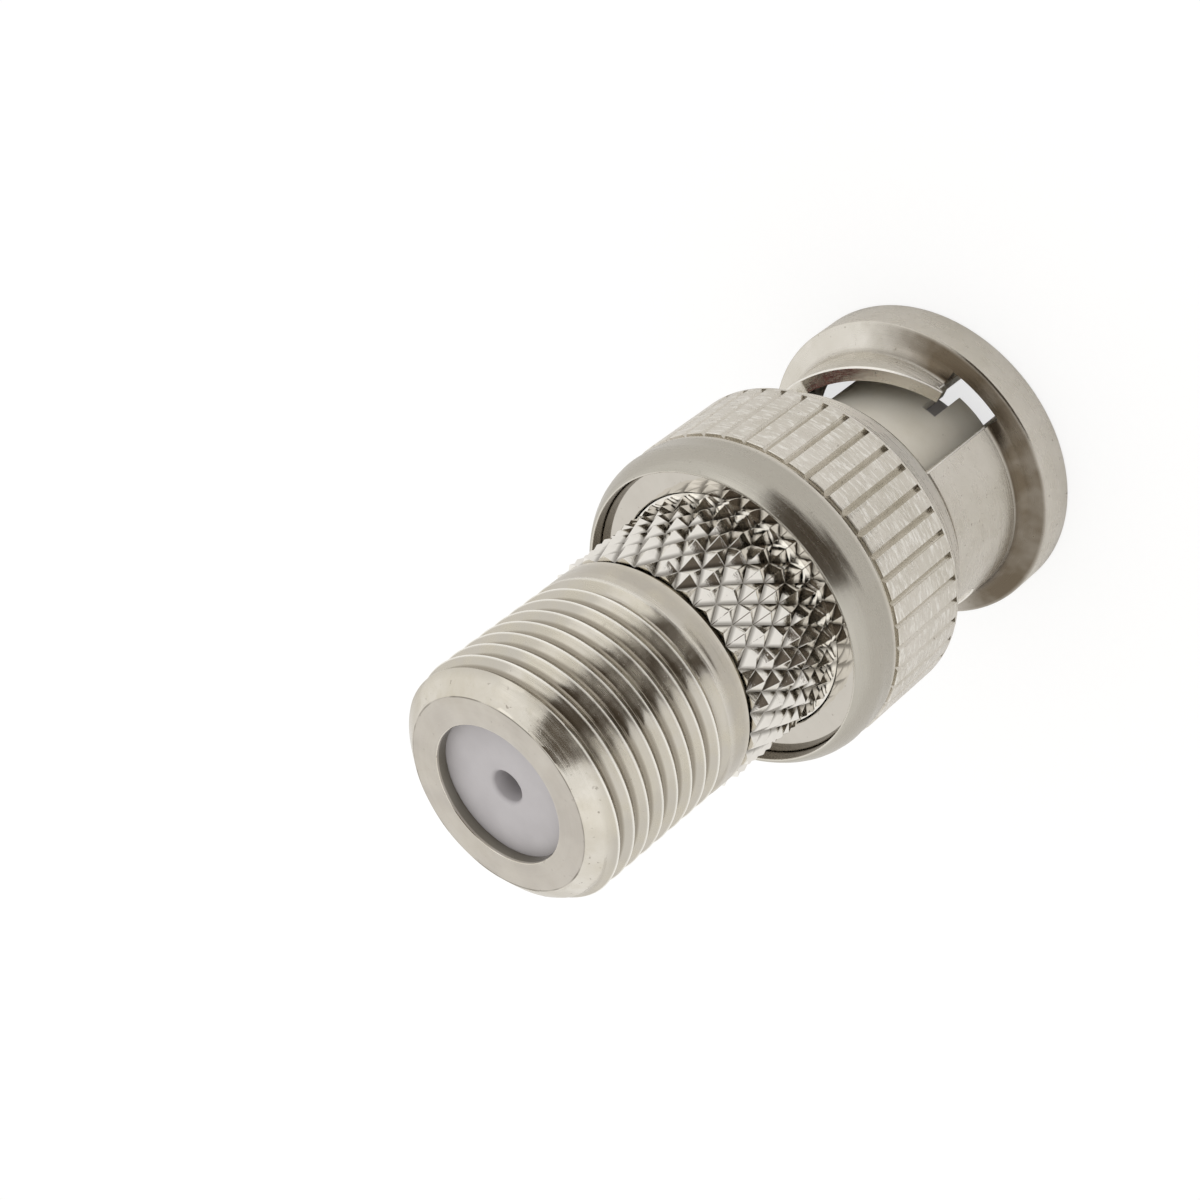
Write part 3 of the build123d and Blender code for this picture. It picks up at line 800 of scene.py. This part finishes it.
def bent_cutter(bm, levels, half):
    """A cutting shape given as flat outlines at several radii, bent round the axis."""
    flat = bmesh.new()
    loops = []
    for outline, radius in levels:
        corners = [flat.verts.new((x, y, radius)) for x, y in outline]
        loops.append([flat.edges.new((corners[i - 1], corners[i])) for i in range(len(corners))])
    for one, two in zip(loops, loops[1:]):
        bmesh.ops.bridge_loops(flat, edges=one + two)
    for loop in (loops[0], loops[-1]):
        bmesh.ops.contextual_create(flat, geom=loop)
    low = min(v.co.x for v in flat.verts)
    high = max(v.co.x for v in flat.verts)
    step = math.radians(BEND_STEP) * BARREL_R
    for i in range(math.ceil(low / step), math.floor(high / step) + 1):
        bmesh.ops.bisect_plane(flat, geom=flat.verts[:] + flat.edges[:] + flat.faces[:], dist=1e-6,
                               plane_co=(i * step, 0, 0), plane_no=(1, 0, 0))
    for v in flat.verts:
        angle = v.co.x / BARREL_R + half * math.pi
        v.co = Vector((v.co.z * math.cos(angle), v.co.z * math.sin(angle), v.co.y)) * MM
    bmesh.ops.recalc_face_normals(flat, faces=flat.faces)
    mesh = bpy.data.meshes.new("bent")
    flat.to_mesh(mesh)
    flat.free()
    bm.from_mesh(mesh)
    bpy.data.meshes.remove(mesh)


KNURL_GROOVES = 44
GROOVE_DEPTH = 0.18
GROOVE_HALF = 0.12              # half its width, under the chamfered lips
GROOVE_LIP = 0.02               # the depth of those lips
GROOVE_LOW_Z = 8.32
GROOVE_LENGTH = 3.88
CUTTER_OVER = 0.05              # how far the groove's cutter stands out of the lands
CUTTER_HALF = 0.2               # half its width out there


def groove_cutter(bm, angle):
    """A bar with the section of one groove of the straight knurl, laid along the nut."""
    section = [(knurl_r - GROOVE_DEPTH, 0), (knurl_r - GROOVE_LIP, -GROOVE_HALF),
               (knurl_r + CUTTER_OVER, -CUTTER_HALF), (knurl_r + CUTTER_OVER, CUTTER_HALF),
               (knurl_r - GROOVE_LIP, GROOVE_HALF)]
    corners = [bm.verts.new((x * MM, y * MM, GROOVE_LOW_Z * MM)) for x, y in section]
    face = bm.faces.new(corners)
    grown = bmesh.ops.extrude_face_region(bm, geom=[face])["geom"]
    top = [v for v in grown if isinstance(v, bmesh.types.BMVert)]
    bmesh.ops.translate(bm, vec=(0, 0, GROOVE_LENGTH * MM), verts=top)
    bmesh.ops.rotate(bm, cent=(0, 0, 0), matrix=Matrix.Rotation(angle, 3, "Z"), verts=top + corners)


nut_nickel = plated_metal("nut_nickel", bright=(0.76, 0.73, 0.675), dull=(0.65, 0.62, 0.55),
                          smooth=0.18, rough=0.32, marks=1.8, pits=0.4, relief=2.8)
# painted brown shade in the corner between the barrel and the front flange
CORNER_SHADE = (0.15, 0.12, 0.085)
SHADED_SIDE = (-0.64, -0.77, 0)      # where the brown corner is darkest
SHADE_SPREAD = (-0.8, 2.6)            # along that direction it grows from none to full
# painted highlight on the slot edges
CHAMFER_HIGHLIGHT = (0.93, 0.91, 0.86)
# painted shade on the rear bevel
BEVEL_SHADE = (0.46, 0.44, 0.39)
# painted highlight on the cone before the knurl
CONE_HIGHLIGHT = (0.86, 0.83, 0.77)
BRUSHED_BRIGHT = (0.92, 0.905, 0.86)
# painted shade on the rear recess wall
RECESS_SHADE = (0.12, 0.10, 0.075)
SLOT_CHAMFER = 0.07
BRUSHING = (0.2, 0.2, 1)        # draws marks out across the axis and leaves them short along it
SCRATCH_DEPTH = 5.0             # as a multiple of the bump's depth


def shade_corner(tree, place, radius, height):
    """Painted brown shade in the corner between the barrel and the front flange, on one side of the nut.
    """
    corner = times(tree, rise(tree, radius, BARREL_R - 0.06, BARREL_R + 0.04),
                   band(tree, height, FRONT_FLANGE_TOP_Z + 0.05, BARREL_LOW_Z + 0.05, 0.12))
    side = tree.nodes.new("ShaderNodeVectorMath")
    side.operation = "DOT_PRODUCT"
    side.inputs[1].default_value = SHADED_SIDE
    link(tree, place, side.inputs[0])
    spread = value_node(tree, "ADD", rise(tree, side.outputs["Value"], *SHADE_SPREAD),
                        patchy(tree, place, 450, 0.4, 0.7, -0.15, 0.1, roughness=0.6), clamp=True)
    # Painted brown shade, spreading in patches from one side.
    touched(tree, times(tree, corner, spread), CORNER_SHADE)


def paint_light_on_turned_faces(tree, radius, height):
    """Painted highlights on the slot edges, painted shade on the bevel behind the knurl and a painted
    highlight on the cone before it.
    """
    # Painted highlight on the slot chamfers.
    chamfers = times(tree, band(tree, height, BARREL_LOW_Z + 0.15, BARREL_TOP_Z + 0.05, 0.05),
                     band(tree, radius, BARREL_R - SLOT_CHAMFER + 0.01, BARREL_R - 0.015, 0.008))
    touched(tree, chamfers, CHAMFER_HIGHLIGHT, rougher=0.1, less_metal=0.6)
    # Painted shade on the rear bevel.
    bevel = times(tree, rise(tree, height, undercut_top_z + 0.07, undercut_top_z + 0.22),
                  rise(tree, radius, recess_r + 0.03, recess_r + 0.08))
    touched(tree, bevel, BEVEL_SHADE, strength=0.8)
    # Painted highlight on the cone.
    cone = band(tree, height, STEP_TOP[1] + 0.03, KNURL_LOW_Z - 0.1, 0.05)
    touched(tree, cone, CONE_HIGHLIGHT, rougher=0.05, less_metal=0.5)


def brush_lands(tree, place, radius, height):
    """Short scratches and bright ticks round the lands of the straight knurl, left by brushing."""
    lands = times(tree, rise(tree, radius, knurl_r - 0.045, knurl_r - 0.015),
                  band(tree, height, KNURL_LOW_Z, KNURL_TOP_Z - 0.02, 0.05))
    drawn = tree.nodes.new("ShaderNodeVectorMath")
    drawn.operation = "MULTIPLY"
    drawn.inputs[1].default_value = BRUSHING
    link(tree, place, drawn.inputs[0])
    scratches = times(tree, noise(tree, drawn.outputs["Vector"], 8000, 4, 0.75), lands)
    relief = tree.nodes["Bump"].inputs["Height"]
    link(tree, value_node(tree, "ADD", fed(relief), times(tree, scratches, SCRATCH_DEPTH)), relief)
    ticks = patchy(tree, drawn.outputs["Vector"], 8500, 0.5, 0.64, 0.0, 1.0, roughness=0.7)
    touched(tree, times(tree, ticks, lands), BRUSHED_BRIGHT)


def darken_recess(tree, radius, height):
    """Painted shade on the wall of the rear recess, round the washer."""
    # Painted shade on the recess wall.
    recess = times(tree, band(tree, radius, CHAMBER_R - 0.15, recess_r + 0.01, 0.01),
                   band(tree, height, washer_low.z - 0.1, nut_top - 0.05, 0.02))
    touched(tree, recess, RECESS_SHADE, strength=0.85)


tree = nut_nickel.node_tree
place, radius, height = polar(tree)
shade_corner(tree, place, radius, height)
paint_light_on_turned_faces(tree, radius, height)
brush_lands(tree, place, radius, height)
darken_recess(tree, radius, height)
bm = bmesh.new()
turn(bm, [(NUT_BORE_R, MOUTH_DEPTH, 0.15), (MOUTH_R, 0, 0.06), (FRONT_FLANGE_R, 0, 0.12),
          (FRONT_FLANGE_R, FRONT_FLANGE_TOP_Z, 0.08),
          (BARREL_R + BARREL_FILLET, BARREL_LOW_Z - BARREL_FILLET, 0.12), (BARREL_R, BARREL_LOW_Z, 0.2),
          (BARREL_R, BARREL_TOP_Z, 0.15), (*STEP_TOP, 0.08), (*CONE_LOW, 0.06), (*CONE_TOP, 0.12),
          (knurl_r, KNURL_LOW_Z, 0.05), (knurl_r, KNURL_TOP_Z, 0.04), (UNDERCUT_R, KNURL_TOP_Z, 0.02),
          (UNDERCUT_R, undercut_top_z, 0.02), (rear_band_r, undercut_top_z, 0.05),
          (rear_band_r, BEVEL_LOW_Z - REAR_BAND_DROP, 0.1), *rounded_bevel(), (REAR_RIM_R, nut_top, 0.03),
          (recess_r, nut_top, 0.03), (recess_r, washer_low.z), (CHAMBER_R, washer_low.z),
          (CHAMBER_R, chamber_low_z), (NUT_BORE_R, chamber_low_z)], steps=NUT_STEPS)
nut = piece_from(bm, "nut_turned", nut_nickel)
cuts = bmesh.new()
for half in (0, 1):
    grown, true = slot_outline(SLOT_CHAMFER), slot_outline(0)
    bent_cutter(cuts, [(grown, ENTRY_R), (grown, BARREL_R + 0.005),
                       (true, BARREL_R - SLOT_CHAMFER), (true, CUTTER_INNER_R)], half)
carve(nut, cuts)
grooves = bmesh.new()
for i in range(KNURL_GROOVES):
    groove_cutter(grooves, (i + 0.5) * math.tau / KNURL_GROOVES)
carve(nut, grooves)
even_shading(nut)
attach(nut, "nut")
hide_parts("coupling_nut")

# Rear washer: a flat nickel-plated ring pressed into the nut's rear counterbore. It holds the nut on
# the body and turns with it.
WASHER_HOLE_R = 5.0
bm = bmesh.new()
turn(bm, [(WASHER_HOLE_R, washer_low.z, 0.04), (washer_high.x, washer_low.z, 0.04),
          (washer_high.x, washer_high.z, 0.08), (WASHER_HOLE_R, washer_high.z, 0.06)])
washer_nickel = plated_metal("washer_nickel", bright=(0.63, 0.60, 0.55), dull=(0.58, 0.55, 0.50),
                             smooth=0.04, rough=0.09, marks=0.3, pits=0.3, relief=0.6)
washer = piece_from(bm, "washer_flat", washer_nickel)
even_shading(washer)
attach(washer, "nut")
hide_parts("rear_washer")

# Floor: a sheet of white paper under the adapter, which stands on the nut's front rim. The camera sees
# it lifted to white, so that only the shadow shows on it.
FLOOR_SIZE = 2.0                # metres
FLOOR_LIFT = 0.735
FLOOR_PAPER = (0.84, 0.83, 0.82)
FLOOR_SEEN = (0.30, 0.30, 0.30)         # what the camera sees, before the lift


def sheet(name, length, width, material):
    """A flat sheet round the origin, of this length along X and this width along Y, in metres."""
    bm = bmesh.new()
    bmesh.ops.create_grid(bm, x_segments=1, y_segments=1, size=0.5)
    bmesh.ops.scale(bm, vec=(length, width, 1), verts=bm.verts)
    mesh = bpy.data.meshes.new(name)
    bm.to_mesh(mesh)
    bm.free()
    mesh.materials.append(material)
    made = bpy.data.objects.new(name, mesh)
    bpy.context.scene.collection.objects.link(made)
    return made


floor_paper, tree, shader = new_material("floor_paper")
seen = tree.nodes.new("ShaderNodeLightPath").outputs["Is Camera Ray"]
link(tree, blend_colours(tree, seen, FLOOR_PAPER, FLOOR_SEEN), shader.inputs["Base Color"])
shader.inputs["Emission Color"].default_value = (1, 1, 1, 1)
link(tree, times(tree, seen, FLOOR_LIFT), shader.inputs["Emission Strength"])
shader.inputs["Roughness"].default_value = 0.9
shader.inputs["Specular IOR Level"].default_value = 0.1
floor = sheet("floor", FLOOR_SIZE, FLOOR_SIZE, floor_paper)

# World: an even, pale and slightly warm room all round, which gives the white parts and the shadow on
# the floor their soft light.
world = bpy.data.worlds.new("studio")
bpy.context.scene.world = world
world.use_nodes = True
background = world.node_tree.nodes["Background"]
background.inputs["Color"].default_value = (1, 0.985, 0.96, 1)
background.inputs["Strength"].default_value = 0.95

# Lamps: two large soft boxes, raised on either side of the camera. They draw the broad highlights along
# the turned metal.
middle = (cad_low + cad_high) / 2


def direction(azimuth, elevation):
    """The unit vector from the adapter towards this azimuth and elevation, in degrees."""
    turned_by, raised = math.radians(azimuth), math.radians(elevation)
    return Vector((math.cos(raised) * math.cos(turned_by), math.cos(raised) * math.sin(turned_by),
                   math.sin(raised)))


def soft_box(name, azimuth, elevation, distance, size, power):
    """A square area lamp that faces the adapter from this direction."""
    lamp = bpy.data.lights.new(name, "AREA")
    lamp.size = size
    lamp.energy = power
    box = bpy.data.objects.new(name, lamp)
    bpy.context.scene.collection.objects.link(box)
    away = direction(azimuth, elevation)
    box.location = middle + away * distance
    box.rotation_euler = away.to_track_quat("Z", "Y").to_euler()


soft_box("key", azimuth=-35, elevation=35, distance=0.4, size=0.24, power=0.05)
soft_box("fill", azimuth=-165, elevation=40, distance=0.4, size=0.28, power=0.025)

# Flags: two dark cards on the camera's side, one flat on the floor and one upright, seen only in the
# metal. They stand for the dark room that the plating mirrors.
FLAG_NEAR = 33                  # of the low card, from the axis
FLAG_FAR = 140
LOW_FLAG_WIDTH = 30
LOW_FLAG_Z = 0.4
HIGH_FLAG_WIDTH = 190
HIGH_FLAG_HEIGHT = 460
flag_card, tree, shader = new_material("flag_card")
shader.inputs["Base Color"].default_value = (0.10, 0.08, 0.06, 1)
shader.inputs["Roughness"].default_value = 1.0


def flag(name, azimuth, width, length, place):
    """A dark card that only shows in reflections, put in place on the +X side and then turned."""
    card = sheet(name, length * MM, width * MM, flag_card)
    card.matrix_world = Matrix.Rotation(math.radians(azimuth), 4, "Z") @ place
    card.visible_camera = False
    card.visible_diffuse = False
    card.visible_shadow = False
    card.visible_transmission = False


upright = Matrix.Rotation(math.radians(90), 4, "Y")
flag("low_flag", azimuth=-108, width=LOW_FLAG_WIDTH, length=FLAG_FAR - FLAG_NEAR,
     place=Matrix.Translation(((FLAG_NEAR + FLAG_FAR) / 2 * MM, 0, LOW_FLAG_Z * MM)))
flag("high_flag", azimuth=-92, width=HIGH_FLAG_WIDTH, length=HIGH_FLAG_HEIGHT,
     place=Matrix.Translation((FLAG_FAR * MM, 0, HIGH_FLAG_HEIGHT / 2 * MM)) @ upright)

# Camera: the photograph's view, worked out from the ellipses of the turned edges. It looks down on the
# F end from close by and is rolled, so that the axis lies slanting across the picture.
CAMERA_TARGET = Vector((3.19, -0.45, 18.15)) * MM
CAMERA_DISTANCE = 90.36 * MM
CAMERA_AZIMUTH = -98.0
CAMERA_ELEVATION = 37.73
CAMERA_ROLL = 126.92            # degrees that the picture's top is turned towards its right
CAMERA_LENS = 74.49
away = direction(CAMERA_AZIMUTH, CAMERA_ELEVATION)
level_right = Vector((0, 0, 1)).cross(away).normalized()
level_up = away.cross(level_right)
roll = math.radians(CAMERA_ROLL)
up = level_up * math.cos(roll) + level_right * math.sin(roll)
right = up.cross(away)
stand = CAMERA_TARGET + away * CAMERA_DISTANCE
lens = bpy.data.cameras.new("camera")
lens.lens = CAMERA_LENS
lens.clip_start = 0.001
camera = bpy.data.objects.new("camera", lens)
camera.matrix_world = Matrix((
    (right.x, up.x, away.x, stand.x),
    (right.y, up.y, away.y, stand.y),
    (right.z, up.z, away.z, stand.z),
    (0, 0, 0, 1)))
bpy.context.scene.collection.objects.link(camera)
bpy.context.scene.camera = camera
bpy.context.scene.view_settings.view_transform = "Standard"
